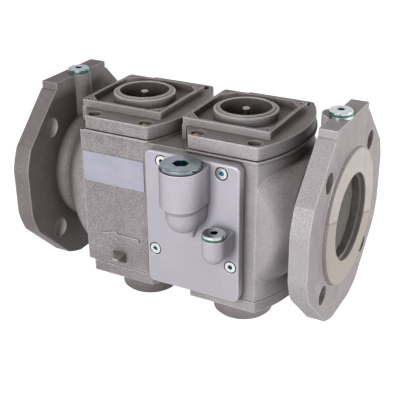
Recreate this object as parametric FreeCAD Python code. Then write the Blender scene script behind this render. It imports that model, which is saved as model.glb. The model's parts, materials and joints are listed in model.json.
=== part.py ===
import FreeCAD, Part
import math
import os

# Double gas valve, DN 65.  Millimetres.
# Origin: centre of the inlet sealing face, on the flow axis.
# +X points out of the inlet, +Z up, -Y is the side with the test plate.  Gas flows towards -X.

# Flow line and flanges
face_to_face = 290.0          # DN 65, long series
raised_height = 3.5
raised_radius = 59.3
raised_foot_radius = 61.5
flange_thickness = 16.1
bolt_circle = 145.0
bolt_hole_radius = 9.0
flange_edge = 20.0            # from the bolt circle out to the flange's round edge
flange_radius = bolt_circle / 2 + flange_edge
flat_cut = 2.5                # cut off the round at the left, right and lower flats
diagonal_cut = 4.7            # cut off it at the 45 degree flats
flange_flat = flange_radius - flat_cut
flange_diagonal = flange_radius - diagonal_cut
port_radius = 38.5
pad_half_width = 38.8         # pad on top of each flange
pad_top = flange_flat
inlet_test_plug = (132.0, -6.5)     # plug axis, from the middle
outlet_test_plug = (-127.5, -1.0)
inlet_boss_x = 125.7
outlet_boss_x = -128.7
test_boss_radius = 11.5
test_boss_bottom = 50.0
bolt_hole_depth = 30.0
test_hole_radius = 2.0        # from the test plug down to the bore

# Two valve cells
mid_x = -face_to_face / 2
cell_offsets = (45.6, -56.2)  # inlet cell, outlet cell, measured from the middle
deck_z = 61.7
base_z = -68.8
rim_height = 1.7
rim_overhang = 1.5
half_depth = 61.0             # front and back walls of the housing
cell_front_left = -23.9       # outline of one cell, measured from its stem axis
cell_front_right = 38.5
frame_half_x = 40.5           # frame on top of a bonnet
frame_half_y = 40.9
leg_thickness = 4.0           # leg of the frame, outside the cell's left wall
cell_side_set = 21.5          # front wall to the front end of the left wall
cell_bulge = 18.1             # rise of the right wall's arc
cell_left = leg_thickness - frame_half_x
cell_left_half = half_depth - cell_side_set
cell_reach = cell_front_right + cell_bulge
outlet_growth = 6.3           # the housing's outlet cell is longer than its covers
left_corner = 1.5             # corner radii of the outline
right_front_corner = 3.0
right_back_corner = 5.5

# Housing ends: from the middle, half width, underside, top, corner radius
shoulder_inset = 0.1
shoulder_half = half_depth - shoulder_inset
shoulder_sections = ((74.0, shoulder_half, -61.0, 53.0, 12.0),
                     (90.0, shoulder_half, -58.0, 51.0, 26.0),
                     (101.0, shoulder_half - 2.4, -53.0, 49.0, 40.0),
                     (107.5, 53.5, -51.0, 50.0, 48.0),
                     (111.0, 50.5, -50.0, 50.0, 49.0))
neck_start = 108.0
neck_start_radius = 49.5
bead_start = 111.5
bead_foot_radius = 50.0
bead_crest = 118.5
bead_crest_radius = 53.0

# Cast lug low on the front wall of the outlet cell
lug_x = -45.0                 # its right side, from the middle
lug_top = -54.0
lug_width = 14.6              # along the wall
lug_end_width = 5.4
lug_reach = 14.0              # out from the wall
lug_drop = 11.0               # along the wall
lug_edge = 1.5                # thickness of its outer end

# Chambers inside the housing
seat_web = 4.0                # the seat web lies between -4 and +4
chamber_wall = 17.0           # front and back walls at the chambers
chamber_half = half_depth - chamber_wall
chamber_top = 54.0
chamber_bottom = -62.0
chamber_corner = 10.0
inlet_wall_end = 39.0         # end of the inlet chambers, from the middle
outlet_wall_end = -86.5
partition = 5.0               # edge of the lower partition, from the middle
partition_upper = -17.0
partition_thickness = 5.0
port_depth = 53.0             # full bore behind each sealing face
tunnel_overlap = 3.0
tunnel_half = 60.0            # half size of the boxes that halve the round tunnels
chamber_end = 84.0
lap = 1.0                     # cutters and joined solids run this far past their faces

# Valves
seat_bore = 25.0
seat_ring_radius = 28.0
seat_flange_radius = 29.3
seat_lip_width = 1.5
seat_lip_z = -8.0
seat_flange_z = -6.5
disc_radius = 28.8
disc_top = -11.0
disc_bottom = -17.0
disc_seal_inner = 19.0
disc_seal_outer = 28.3
seat_gap = 0.05
stem_radius = 3.5
stem_top = 82.0
stem_bottom = -27.0
stem_collar_radius = 6.0
stem_collar_height = 3.5
stem_clearance = 0.05
clamp_radius = 22.0
disc_spigot = 1.5             # centring step on the disc, under the clamp plate
stem_edge = 0.6
nut_flats = 13.0
nut_height = 6.0
stroke = 18.0

# Bonnets
gasket_thickness = 0.8
gasket_inset = 0.8
bonnet_thickness = 11.3
frame_top = 80.2
recess_half_x = frame_half_x - 2.9
recess_half_y = frame_half_y - 3.1
recess_corner = 11.0
frame_corner_radius = 2.0
leg_gap = 0.3                 # leg of the frame above the deck
rim_gap = 0.6                 # rim clear of that leg
actuator_hole_half = 36.0     # 72 mm square drilling
actuator_hole_radius = 1.65
actuator_hole_depth = 8.0
collar_radius = 28.2
collar_step_z = 81.5
collar_step_radius = 27.4
collar_rim_radius = 24.9
collar_edge = 0.6
collar_top = 83.3
collar_bore = 22.7
collar_floor = 66.0
spigot_radius = 21.9
spigot_clearance = 0.1
spigot_bottom = 56.0
hub_radius = 11.0
hub_bottom = 46.0
hub_lip = 2.0                 # inward lip that holds the stem seal
hub_lip_gap = 0.5
bush_radius = 7.0
bush_top = 64.0
stem_seal_radius = 6.5
stem_seal_height = 3.0

# Cover screws, at the same places above and below
screw_x = (-19.0, 32.3)
screw_margin = 8.5            # screw axis to the wall
screw_y = half_depth - screw_margin
screw_bore_radius = 6.0
screw_head_radius = 5.0
screw_head_height = 6.0
screw_seat_depth = 9.0
screw_radius = 3.0
screw_length = 22.0
screw_spare = 4.0             # hole deeper than the screw
screw_socket_flats = 5.0
screw_socket_depth = 3.0
hole_clearance = 0.1

# Bottom covers
cover_gasket = 0.7
cover_thickness = 10.5
cup_radius = 28.0
cup_top_radius = 29.0
cup_inner_radius = 24.0
cup_bottom = -117.3
cup_floor = 3.8
cup_edge = 2.0
guide_boss_radius = 9.5
guide_boss_height = 5.0
spring_radius = 13.0
spring_wire_radius = 1.3
spring_turns = 6
spring_steps = 12             # straight steps in one turn
spring_sides = 6
service_radius = 30.5         # opening the disc goes in through

# Side plate
plate_x = 30.0                # plate centre, from the middle
plate_half_width = 44.0
plate_low = -67.2
plate_high = 59.0
plate_thickness = 8.0
plate_gasket = 0.5
plate_pad = 2.5               # raised pad of the housing behind the gasket
plate_front = -half_depth - plate_pad - plate_gasket - plate_thickness
plate_corner = 6.0
plate_edge = 1.0
plate_screws = ((-27.9, 50.7), (27.9, 50.7), (-36.3, -33.4), (36.3, -33.4))
plate_screw_head = 4.8
plate_screw_bore = 5.9        # counterbore round the head
plate_screw_sink = 3.2
plate_screw_radius = 2.9
plate_screw_length = 16.0
plate_screw_spare = 2.0
plate_socket_flats = 4.0
plate_socket_depth = 2.2
pad_lap = 2.0                 # housing pad behind the plate runs this far into the wall

# Large and small connections on the side plate
large_x = 0.1                 # from the plate centre
large_stand_off = 16.6        # axis in front of the plate
large_y = plate_front - large_stand_off
large_radius = 17.9
large_top = 57.0
large_step_z = 20.0
large_taper = 5.0
large_taper_radius = 14.0     # foot of the taper
large_low_x = 0.5
large_low_stand_off = 14.0
large_low_y = plate_front - large_low_stand_off
large_low_radius = 15.0
large_low_centre_z = 13.9
large_bore = 13.0
large_bore_floor = 34.0
large_head_radius = 16.9
large_head_height = 3.2
large_seal_radius = 17.4
large_seal_height = 0.8
large_spot_clearance = 0.4    # plate cut back round the plug head
large_socket_flats = 12.0
large_socket_depth = 7.0
large_thread_length = 14.0
nib_x = 1.5
nib_z = -1.0
nib_radius = 5.0
nib_tip_radius = 0.8
nib_length = 11.0
small_x = 30.4
small_stand_off = 17.9
small_y = plate_front - small_stand_off
small_radius = 10.2
small_top = 2.4
small_low_centre_z = -11.1
small_bore = 6.5
small_bore_floor = -12.0
plug_head_radius = 9.8
plug_head_height = 2.4
plug_seal_radius = 10.0
plug_seal_height = 1.9
plug_socket_flats = 6.0
plug_socket_depth = 4.5
washer_height = 2.2           # ring under the inlet test plug
plug_thread_length = 10.0
head_chamfer = 0.8

# Strainer in the inlet
strainer_depth = 11.0
strainer_thickness = 1.2
strainer_ring_front = 5.0
strainer_ring_inner = 36.3
tunnel_radius = 36.0          # ledge behind the strainer, and the tunnels to the chambers
strainer_radius = 37.8        # seat of the strainer and its ring
ring_clearance = 0.05         # radial play of rings, threads and discs in their holes

# Rating plate, blank
label_low_x = -85.0
label_high_x = -22.0
label_low_z = 12.5
label_high_z = 41.0
label_thickness = 0.6
label_corner = 1.5

tiny = 1e-3                   # tolerance for picking edges

out_dir = "parts"
os.makedirs(out_dir, exist_ok=True)

X = FreeCAD.Vector(1, 0, 0)
Y = FreeCAD.Vector(0, 1, 0)
Z = FreeCAD.Vector(0, 0, 1)


def at(x, y, z):
    return FreeCAD.Vector(x, y, z)


def save(name, shape):
    shape.exportStep(os.path.join(out_dir, name + ".step"))


def group(solids):
    return Part.makeCompound(solids)


def post(x, y, low, high, radius):
    return Part.makeCylinder(radius, high - low, at(x, y, low), Z)


def bar(low_x, high_x, radius, y=0.0, z=0.0):
    return Part.makeCylinder(radius, high_x - low_x, at(low_x, y, z), X)


def block(low, high):
    return Part.makeBox(high[0] - low[0], high[1] - low[1], high[2] - low[2], at(*low))


def cone_post(x, y, low, high, low_radius, high_radius):
    return Part.makeCone(low_radius, high_radius, high - low, at(x, y, low), Z)


def ring(x, y, low, high, outer, inner):
    return post(x, y, low, high, outer).cut(post(x, y, low, high, inner))


def polygon_face(points):
    return Part.Face(Part.makePolygon(points + [points[0]]))


def hexagon(x, y, low, high, flats):
    corner = flats / math.sqrt(3)
    points = []
    for k in range(6):
        turn = math.radians(60 * k + 30)
        points.append(at(x + corner * math.cos(turn), y + corner * math.sin(turn), low))
    return polygon_face(points).extrude(Z * (high - low))


def along(edge, direction):
    # true for a straight edge that runs along the direction
    ends = edge.Vertexes
    if len(ends) < 2:
        return False
    run = ends[1].Point.sub(ends[0].Point)
    return run.Length > 0 and abs(run.normalize().dot(direction)) > 0.999


def rounded(shape, direction, radius):
    return shape.makeFillet(radius, [edge for edge in shape.Edges if along(edge, direction)])


def cell_solid(axis_x, low, high, grow=0.0):
    # cell outline given height, with its corners rounded
    body = cell_face(axis_x, low, grow).extrude(Z * (high - low))
    groups = ([], [], [])
    for edge in body.Edges:
        if along(edge, Z):
            place = edge.Vertexes[0].Point
            if place.x < axis_x:
                groups[0].append(edge)
            elif place.y < 0:
                groups[1].append(edge)
            else:
                groups[2].append(edge)
    radii = (left_corner, right_front_corner, right_back_corner)
    for radius, points in zip(radii, [[e.Vertexes[0].Point for e in edges] for edges in groups]):
        edges = []
        for edge in body.Edges:
            if along(edge, Z) and any(edge.Vertexes[0].Point.distanceToPoint(q) < tiny or
                                      edge.Vertexes[1].Point.distanceToPoint(q) < tiny for q in points):
                edges.append(edge)
        body = body.makeFillet(radius, edges)
    return body


def cell_face(axis_x, z, grow=0.0):
    # flat outline shared by housing cell, bonnet and bottom cover
    left_front = at(axis_x + cell_front_left, -half_depth, z)
    right_front = at(axis_x + cell_front_right, -half_depth, z)
    tip = at(axis_x + cell_reach, 0, z)
    right_back = at(axis_x + cell_front_right, half_depth, z)
    left_back = at(axis_x + cell_front_left, half_depth, z)
    side_back = at(axis_x + cell_left, cell_left_half, z)
    side_front = at(axis_x + cell_left, -cell_left_half, z)
    edges = [Part.makeLine(left_front, right_front),
             Part.Arc(right_front, tip, right_back).toShape(),
             Part.makeLine(right_back, left_back),
             Part.makeLine(left_back, side_back),
             Part.makeLine(side_back, side_front),
             Part.makeLine(side_front, left_front)]
    face = Part.Face(Part.Wire(edges))
    if grow:
        face = face.makeOffset2D(grow, join=2)
    return face


def housing_block():
    # both cells and the wall stretch between them
    inlet_x, outlet_x = [mid_x + offset for offset in cell_offsets]
    top = deck_z - rim_height
    middle = block((outlet_x, -half_depth, base_z), (inlet_x, half_depth, top))
    cells = [cell_solid(x, base_z, top) for x in (outlet_x, outlet_x - outlet_growth)]
    body = cell_solid(inlet_x, base_z, top).fuse(cells + [middle])
    return body.removeSplitter()


def rim(axis):
    # raised rim under a bonnet, kept clear of the leg of its frame
    body = cell_solid(axis, deck_z - rim_height, deck_z, rim_overhang)
    leg_half = frame_half_y + rim_gap
    leg = block((axis - frame_half_x, -leg_half, deck_z - rim_height),
                (axis + cell_left + rim_gap, leg_half, deck_z + lap))
    return body.cut(leg)


def lug():
    # small bracket: square on its right side, slanting in on the left and underneath
    right = mid_x + lug_x
    inner_y = -half_depth + lap
    outer_y = -half_depth - lug_reach
    plan = polygon_face([at(right, inner_y, lug_top), at(right, outer_y, lug_top),
                         at(right - lug_end_width, outer_y, lug_top), at(right - lug_width, inner_y, lug_top)])
    low = lug_top - lug_drop
    side = polygon_face([at(right, inner_y, lug_top), at(right, outer_y, lug_top),
                         at(right, outer_y, lug_top - lug_edge), at(right, inner_y, low)])
    return plan.extrude(Z * -lug_drop).common(side.extrude(X * -lug_width))


def flange_face(x):
    # round flange with flats at the sides, below and at 45 degrees, and a pad on top
    disc = Part.Face(Part.Wire(Part.makeCircle(flange_radius, at(x, 0, 0), X)))
    reach = flange_flat
    square = [at(x, -reach, -reach), at(x, reach, -reach), at(x, reach, reach), at(x, -reach, reach)]
    disc = disc.common(polygon_face(square))
    tip = flange_diagonal * math.sqrt(2)
    diamond = [at(x, -tip, 0), at(x, 0, -tip), at(x, tip, 0), at(x, 0, tip)]
    disc = disc.common(polygon_face(diamond))
    low = flange_flat / 2
    pad = [at(x, -pad_half_width, low), at(x, pad_half_width, low),
           at(x, pad_half_width, pad_top), at(x, -pad_half_width, pad_top)]
    return disc.fuse(polygon_face(pad)).removeSplitter()


def section_wire(x, half_y, low_z, high_z, corner):
    # rounded rectangle standing across the flow axis
    half_z = (high_z - low_z) / 2
    mid_z = (high_z + low_z) / 2
    cut = corner * (1 - math.sqrt(0.5))
    edges = []
    quarter = [(1, 1), (-1, 1), (-1, -1), (1, -1)]
    for k in range(4):
        sy, sz = quarter[k]
        first = at(x, sy * half_y, mid_z + sz * (half_z - corner))
        middle = at(x, sy * (half_y - cut), mid_z + sz * (half_z - cut))
        last = at(x, sy * (half_y - corner), mid_z + sz * half_z)
        if sy * sz < 0:
            first, last = last, first
        edges.append(Part.Arc(first, middle, last).toShape())
        next_y, next_z = quarter[(k + 1) % 4]
        if next_z == sz:
            start = at(x, sy * (half_y - corner), mid_z + sz * half_z)
            end = at(x, next_y * (half_y - corner), mid_z + sz * half_z)
        else:
            start = at(x, sy * half_y, mid_z + sz * (half_z - corner))
            end = at(x, sy * half_y, mid_z + next_z * (half_z - corner))
        edges.append(Part.makeLine(start, end))
    return Part.Wire(edges)


def shoulder(side):
    # swelling from the cell walls down to the round neck behind a flange
    wires = []
    for reach, half_y, low_z, high_z, corner in shoulder_sections:
        wires.append(section_wire(mid_x + side * reach, half_y, low_z, high_z, corner))
    return Part.makeLoft(wires, True, False)


def neck(side):
    # beaded neck between shoulder and flange
    end = face_to_face / 2 - raised_height - flange_thickness + lap
    profile = ((neck_start, 0), (neck_start, neck_start_radius), (bead_start, bead_foot_radius),
               (bead_crest, bead_crest_radius), (end, bead_foot_radius), (end, 0))
    start, p1, p2, crest, p3, p4 = [at(mid_x + side * reach, 0, radius) for reach, radius in profile]
    edges = [Part.makeLine(start, p1), Part.makeLine(p1, p2), Part.Arc(p2, crest, p3).toShape(),
             Part.makeLine(p3, p4), Part.makeLine(p4, start)]
    return Part.Face(Part.Wire(edges)).revolve(at(mid_x, 0, 0), X, 360)


def flange(side, boss_x):
    # flange plate, raised face and the boss for the test plug
    face_x = mid_x + side * face_to_face / 2
    back_x = face_x - side * (raised_height + flange_thickness)
    plate = flange_face(back_x).extrude(X * (side * flange_thickness))
    raised = Part.makeCone(raised_foot_radius, raised_radius, raised_height,
                           at(face_x - side * raised_height, 0, 0), X * side)
    boss = post(mid_x + boss_x, 0, test_boss_bottom, pad_top, test_boss_radius)
    return plate.fuse([raised, boss])


def chamber(low_x, high_x, low_z, high_z):
    room = block((mid_x + low_x, -chamber_half, low_z), (mid_x + high_x, chamber_half, high_z))
    return rounded(room, Z, chamber_corner)


def passages():
    # inlet chamber below the web, middle chamber across it, outlet chamber above the web
    inlet_low = chamber(partition + partition_thickness, chamber_end, chamber_bottom, -seat_web)
    middle_top = chamber(partition_upper, chamber_end, seat_web, chamber_top)
    middle_low = chamber(outlet_wall_end, partition, chamber_bottom, -seat_web)
    outlet_top = chamber(outlet_wall_end, partition_upper - partition_thickness, seat_web, chamber_top)
    cross = block((mid_x + partition_upper, -chamber_half + chamber_corner, -seat_web - lap),
                  (mid_x + partition, chamber_half - chamber_corner, seat_web + lap))
    end = face_to_face / 2
    inlet_mouth = bar(-strainer_ring_front, 0, port_radius)
    strainer_seat = bar(-strainer_depth - strainer_thickness, 0, strainer_radius)
    inlet_bore = bar(mid_x + end - port_depth, 0, tunnel_radius)
    outlet_bore = bar(mid_x - end, mid_x - end + port_depth - tunnel_overlap, port_radius)
    inlet_tunnel = bar(mid_x + chamber_end - tunnel_overlap, mid_x + end - port_depth + lap, tunnel_radius)
    inlet_tunnel = inlet_tunnel.common(block((mid_x, -tunnel_half, -tunnel_half), (0, tunnel_half, -seat_web)))
    outlet_tunnel = bar(mid_x - end + port_depth - tunnel_overlap - lap,
                        mid_x + outlet_wall_end + tunnel_overlap, tunnel_radius)
    outlet_tunnel = outlet_tunnel.common(block((mid_x - end, -tunnel_half, seat_web),
                                               (mid_x, tunnel_half, tunnel_half)))
    spaces = [inlet_low, middle_top, middle_low, outlet_top, cross, inlet_mouth, strainer_seat,
              inlet_bore, outlet_bore, inlet_tunnel, outlet_tunnel]
    for offset in cell_offsets:
        axis = mid_x + offset
        spaces.append(post(axis, 0, -seat_web - lap, seat_web + lap, seat_ring_radius))
        spaces.append(post(axis, 0, chamber_top - lap, deck_z + lap, spigot_radius + spigot_clearance))
        spaces.append(post(axis, 0, base_z - lap, chamber_bottom + lap, service_radius))
    return spaces


def cover_screw_places(axis):
    return [(axis + x, y) for x in screw_x for y in (-screw_y, screw_y)]


def plate_box(low_y, high_y):
    body = block((mid_x + plate_x - plate_half_width, low_y, plate_low),
                 (mid_x + plate_x + plate_half_width, high_y, plate_high))
    return rounded(body, Y, plate_corner)


def bolt_holes(side):
    face_x = mid_x + side * face_to_face / 2
    inner_x = face_x - side * bolt_hole_depth
    holes = []
    for k in range(4):
        turn = math.radians(45 + 90 * k)
        y = bolt_circle / 2 * math.cos(turn)
        z = bolt_circle / 2 * math.sin(turn)
        holes.append(bar(min(face_x, inner_x), max(face_x, inner_x), bolt_hole_radius, y, z))
    return holes


def make_housing():
    body = housing_block()
    body = body.fuse([rim(mid_x + offset) for offset in cell_offsets])
    for side, boss_x in ((1, inlet_boss_x), (-1, outlet_boss_x)):
        body = body.fuse([shoulder(side), neck(side), flange(side, boss_x)])
    body = body.fuse(plate_box(plate_front + plate_thickness + plate_gasket, -half_depth + pad_lap))
    body = body.fuse(lug())
    cuts = passages() + bolt_holes(1) + bolt_holes(-1)
    for x, y in (inlet_test_plug, outlet_test_plug):
        cuts.append(post(mid_x + x, y, pad_top - plug_thread_length - screw_spare, pad_top + lap, small_bore))
        cuts.append(post(mid_x + x, y, 0, pad_top, test_hole_radius))
    depth = screw_length - (bonnet_thickness - screw_seat_depth) + screw_spare
    for offset in cell_offsets:
        for x, y in cover_screw_places(mid_x + offset):
            cuts.append(post(x, y, deck_z - depth, deck_z + lap, screw_radius + hole_clearance))
            cuts.append(post(x, y, base_z - lap, base_z + depth, screw_radius + hole_clearance))
    for x, z in plate_screws:
        cuts.append(Part.makeCylinder(plate_screw_radius + hole_clearance,
                                      plate_screw_length + plate_screw_spare,
                                      at(mid_x + plate_x + x, plate_front, z), Y))
    for cut in cuts:
        body = body.cut(cut)
    return body


def socket_screw(x, y, under_head, direction):
    # cap screw along Z; direction is +1 when its head is on top
    top = under_head + direction * screw_head_height
    tip = under_head - direction * screw_length
    head = post(x, y, min(under_head, top), max(under_head, top), screw_head_radius)
    shank = post(x, y, min(under_head, tip), max(under_head, tip), screw_radius)
    inner = top - direction * screw_socket_depth
    socket = hexagon(x, y, min(top, inner), max(top, inner), screw_socket_flats)
    return head.fuse(shank).cut(socket)


def recess_outline(axis, z):
    # square with its corners cut off
    points = []
    for sx, sy in ((1, -1), (1, 1), (-1, 1), (-1, -1)):
        along_x = at(axis + sx * (recess_half_x - recess_corner), sy * recess_half_y, z)
        along_y = at(axis + sx * recess_half_x, sy * (recess_half_y - recess_corner), z)
        points += [along_x, along_y] if sx * sy < 0 else [along_y, along_x]
    return polygon_face(points)


def make_bonnet(axis):
    low = deck_z + gasket_thickness
    top = low + bonnet_thickness
    base = cell_solid(axis, low, top)
    frame = block((axis - frame_half_x, -frame_half_y, top - lap),
                  (axis + frame_half_x, frame_half_y, frame_top))
    frame = rounded(frame, Z, frame_corner_radius)
    leg = block((axis - frame_half_x, -frame_half_y, deck_z - rim_height + leg_gap),
                (axis + cell_left, frame_half_y, top))
    frame = frame.cut(recess_outline(axis, top).extrude(Z * frame_top))
    collar = post(axis, 0, top - lap, collar_step_z, collar_radius)
    collar = collar.fuse([cone_post(axis, 0, collar_step_z, collar_step_z + collar_edge, collar_step_radius,
                                    collar_step_radius - collar_edge),
                          post(axis, 0, collar_step_z, collar_top, collar_rim_radius)])
    spigot = post(axis, 0, spigot_bottom, low + lap, spigot_radius)
    hub = post(axis, 0, hub_bottom, low + lap, hub_radius)
    body = base.fuse([frame, leg, collar, spigot, hub])
    body = body.cut(post(axis, 0, collar_floor, collar_top + lap, collar_bore))
    body = body.cut(post(axis, 0, hub_bottom + hub_lip, collar_floor + lap, bush_radius))
    body = body.cut(post(axis, 0, hub_bottom - lap, hub_bottom + hub_lip + lap, stem_radius + hub_lip_gap))
    for x in (-actuator_hole_half, actuator_hole_half):
        for y in (-actuator_hole_half, actuator_hole_half):
            body = body.cut(post(axis + x, y, frame_top - actuator_hole_depth, frame_top + lap,
                                 actuator_hole_radius))
    for x, y in cover_screw_places(axis):
        body = body.cut(post(x, y, top - screw_seat_depth, top + lap, screw_bore_radius))
        body = body.cut(post(x, y, low - lap, top, screw_radius + hole_clearance))
    return body


def make_gasket(axis, low, high, opening):
    # flat seal under a bonnet or over a bottom cover
    sheet = cell_solid(axis, low, high, -gasket_inset)
    sheet = sheet.cut(post(axis, 0, low - lap, high + lap, opening))
    for x, y in cover_screw_places(axis):
        sheet = sheet.cut(post(x, y, low - lap, high + lap, screw_radius + hole_clearance))
    return sheet


def make_bottom_cover(axis):
    top = base_z - cover_gasket
    low = top - cover_thickness
    floor = cup_bottom + cup_floor
    cup = cone_post(axis, 0, cup_bottom + cup_edge, low + lap, cup_radius, cup_top_radius)
    foot = cone_post(axis, 0, cup_bottom, cup_bottom + cup_edge, cup_radius - cup_edge, cup_radius)
    body = cell_solid(axis, low, top).fuse([cup, foot])
    body = body.cut(post(axis, 0, floor, top + lap, cup_inner_radius))
    body = body.fuse(post(axis, 0, floor - lap, floor + guide_boss_height, guide_boss_radius))
    for x, y in cover_screw_places(axis):
        body = body.cut(post(x, y, low - lap, low + screw_seat_depth, screw_bore_radius))
        body = body.cut(post(x, y, low, top + lap, screw_radius + hole_clearance))
    return body


def make_seat_ring(axis):
    body = post(axis, 0, -seat_web, seat_web, seat_ring_radius - ring_clearance)
    body = body.fuse([post(axis, 0, seat_flange_z, -seat_web, seat_flange_radius),
                      post(axis, 0, seat_lip_z, seat_flange_z, seat_bore + seat_lip_width)])
    return body.cut(post(axis, 0, seat_lip_z - lap, seat_web + lap, seat_bore))


def make_bush(axis):
    low = hub_bottom + hub_lip + stem_seal_height
    return ring(axis, 0, low, bush_top, bush_radius - ring_clearance, stem_radius + stem_clearance)


def make_stem_seal(axis):
    low = hub_bottom + hub_lip
    return ring(axis, 0, low, low + stem_seal_height, stem_seal_radius, stem_radius + stem_clearance)


def make_stem(axis):
    body = post(axis, 0, stem_bottom, stem_top - stem_edge, stem_radius)
    body = body.fuse([cone_post(axis, 0, stem_top - stem_edge, stem_top, stem_radius, stem_radius - stem_edge),
                      post(axis, 0, seat_flange_z, seat_flange_z + stem_collar_height, stem_collar_radius)])
    return body


def make_disc(axis):
    body = post(axis, 0, disc_bottom, disc_top, disc_radius)
    body = body.fuse(post(axis, 0, disc_top, disc_top + disc_spigot, disc_seal_inner - ring_clearance))
    return body.cut(post(axis, 0, disc_bottom - lap, disc_top + disc_spigot + lap,
                         stem_radius + ring_clearance))


def make_disc_seal(axis):
    return ring(axis, 0, disc_top, seat_lip_z - seat_gap, disc_seal_outer, disc_seal_inner)


def make_clamp_plate(axis):
    seal_top = seat_lip_z - seat_gap
    body = post(axis, 0, disc_top + disc_spigot, seal_top, disc_seal_inner - ring_clearance)
    body = body.fuse(post(axis, 0, seal_top, seat_flange_z, clamp_radius))
    return body.cut(post(axis, 0, disc_top, seat_flange_z + lap, stem_radius + ring_clearance))


def make_disc_nut(axis):
    low = disc_bottom - nut_height
    body = hexagon(axis, 0, low, disc_bottom, nut_flats)
    return body.cut(post(axis, 0, low - lap, disc_bottom + lap, stem_radius + ring_clearance))


def make_spring(axis):
    # wire with a six-sided section, wound in straight steps
    low = cup_bottom + cup_floor + spring_wire_radius
    rise = disc_bottom - seat_gap - spring_wire_radius - low
    steps = spring_turns * spring_steps
    sections = []
    for k in range(steps + 1):
        turn = 2 * math.pi * k / spring_steps
        section = []
        for n in range(spring_sides):
            around = 2 * math.pi * n / spring_sides + math.pi / 2
            reach = spring_radius + spring_wire_radius * math.cos(around)
            section.append(at(axis + reach * math.cos(turn), reach * math.sin(turn),
                              low + rise * k / steps + spring_wire_radius * math.sin(around)))
        sections.append(section)
    faces = [polygon_face(sections[0]), polygon_face(sections[-1])]
    for first, second in zip(sections, sections[1:]):
        for n in range(spring_sides):
            m = (n + 1) % spring_sides
            faces.append(polygon_face([first[n], first[m], second[m]]))
            faces.append(polygon_face([first[n], second[m], second[n]]))
    coil = Part.makeSolid(Part.makeShell(faces))
    if coil.Volume < 0:
        coil.reverse()
    return coil


def ear(x, y, radius, low, high):
    # boss reaching from the side plate out to an upright axis, seen from above a U
    half_round = post(x, y, low, high, radius)
    web = block((x - radius, y, low), (x + radius, plate_front + lap, high))
    return half_round.fuse(web)


def ear_end(x, y, z, radius):
    # rounded lower end of such a boss
    ball = Part.makeSphere(radius, at(x, y, z))
    roll = Part.makeCylinder(radius, plate_front + lap - y, at(x, y, z), Y)
    return ball.fuse(roll)


def large_boss():
    x = mid_x + plate_x + large_x
    foot = large_step_z + large_taper
    low_x = mid_x + plate_x + large_low_x
    corners = [at(x - large_taper_radius, large_y, large_step_z),
               at(x + large_taper_radius, large_y, large_step_z),
               at(x + large_radius, large_y, foot), at(x - large_radius, large_y, foot)]
    web = polygon_face(corners).extrude(Y * (plate_front + lap - large_y))
    nib = Part.makeCone(nib_radius, nib_tip_radius, nib_length,
                        at(x + nib_x, plate_front - nib_radius / 2, nib_z), Z * -1)
    return [ear(x, large_y, large_radius, foot, large_top), web,
            cone_post(x, large_y, large_step_z, foot, large_taper_radius, large_radius),
            ear(low_x, large_low_y, large_low_radius, large_low_centre_z, large_step_z + lap),
            ear_end(low_x, large_low_y, large_low_centre_z, large_low_radius), nib]


def make_side_plate():
    body = plate_box(plate_front, plate_front + plate_thickness)
    front_edges = [edge for edge in body.Edges if edge.BoundBox.YMax < plate_front + tiny]
    body = body.makeChamfer(plate_edge, front_edges)
    x = mid_x + plate_x + large_x
    sx = mid_x + plate_x + small_x
    body = body.fuse(large_boss())
    body = body.fuse([ear(sx, small_y, small_radius, small_low_centre_z, small_top),
                      ear_end(sx, small_y, small_low_centre_z, small_radius)])
    body = body.cut(post(x, large_y, large_bore_floor, large_top + lap, large_bore))
    body = body.cut(post(x, large_y, large_top, plate_high + lap, large_seal_radius + large_spot_clearance))
    body = body.cut(post(sx, small_y, small_bore_floor, small_top + lap, small_bore))
    for px, pz in plate_screws:
        place = at(mid_x + plate_x + px, plate_front, pz)
        hole = plate_screw_radius + hole_clearance
        body = body.cut(Part.makeCylinder(hole, plate_thickness + lap, place, Y))
        body = body.cut(Part.makeCylinder(plate_screw_bore, plate_screw_sink, place, Y))
    return body


def make_plate_gasket():
    back = plate_front + plate_thickness + plate_gasket
    sheet = plate_box(plate_front + plate_thickness, back)
    for px, pz in plate_screws:
        place = at(mid_x + plate_x + px, plate_front, pz)
        hole = plate_screw_radius + hole_clearance
        sheet = sheet.cut(Part.makeCylinder(hole, plate_screw_length, place, Y))
    return sheet


def make_plate_screws():
    screws = []
    for px, pz in plate_screws:
        place = at(mid_x + plate_x + px, plate_front, pz)
        head = Part.makeCylinder(plate_screw_head, plate_screw_sink, place, Y)
        shank = Part.makeCylinder(plate_screw_radius, plate_screw_length, place, Y)
        body = head.fuse(shank)
        socket = hexagon(0, 0, -lap, plate_socket_depth, plate_socket_flats)
        socket.rotate(at(0, 0, 0), X, -90)
        socket.translate(place)
        screws.append(body.cut(socket))
    return group(screws)


def make_plug(x, y, under_head, head_radius, head_height, thread_radius, thread_length, flats, depth):
    top = under_head + head_height
    head = post(x, y, under_head, top - head_chamfer, head_radius)
    edge = cone_post(x, y, top - head_chamfer, top, head_radius, head_radius - head_chamfer)
    thread = post(x, y, under_head - thread_length, under_head, thread_radius - ring_clearance)
    return head.fuse([edge, thread]).cut(hexagon(x, y, top - depth, top + lap, flats))


def make_label():
    body = block((mid_x + label_low_x, -half_depth - label_thickness, label_low_z),
                 (mid_x + label_high_x, -half_depth, label_high_z))
    return rounded(body, Y, label_corner)


save("valve_housing", make_housing())

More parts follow.
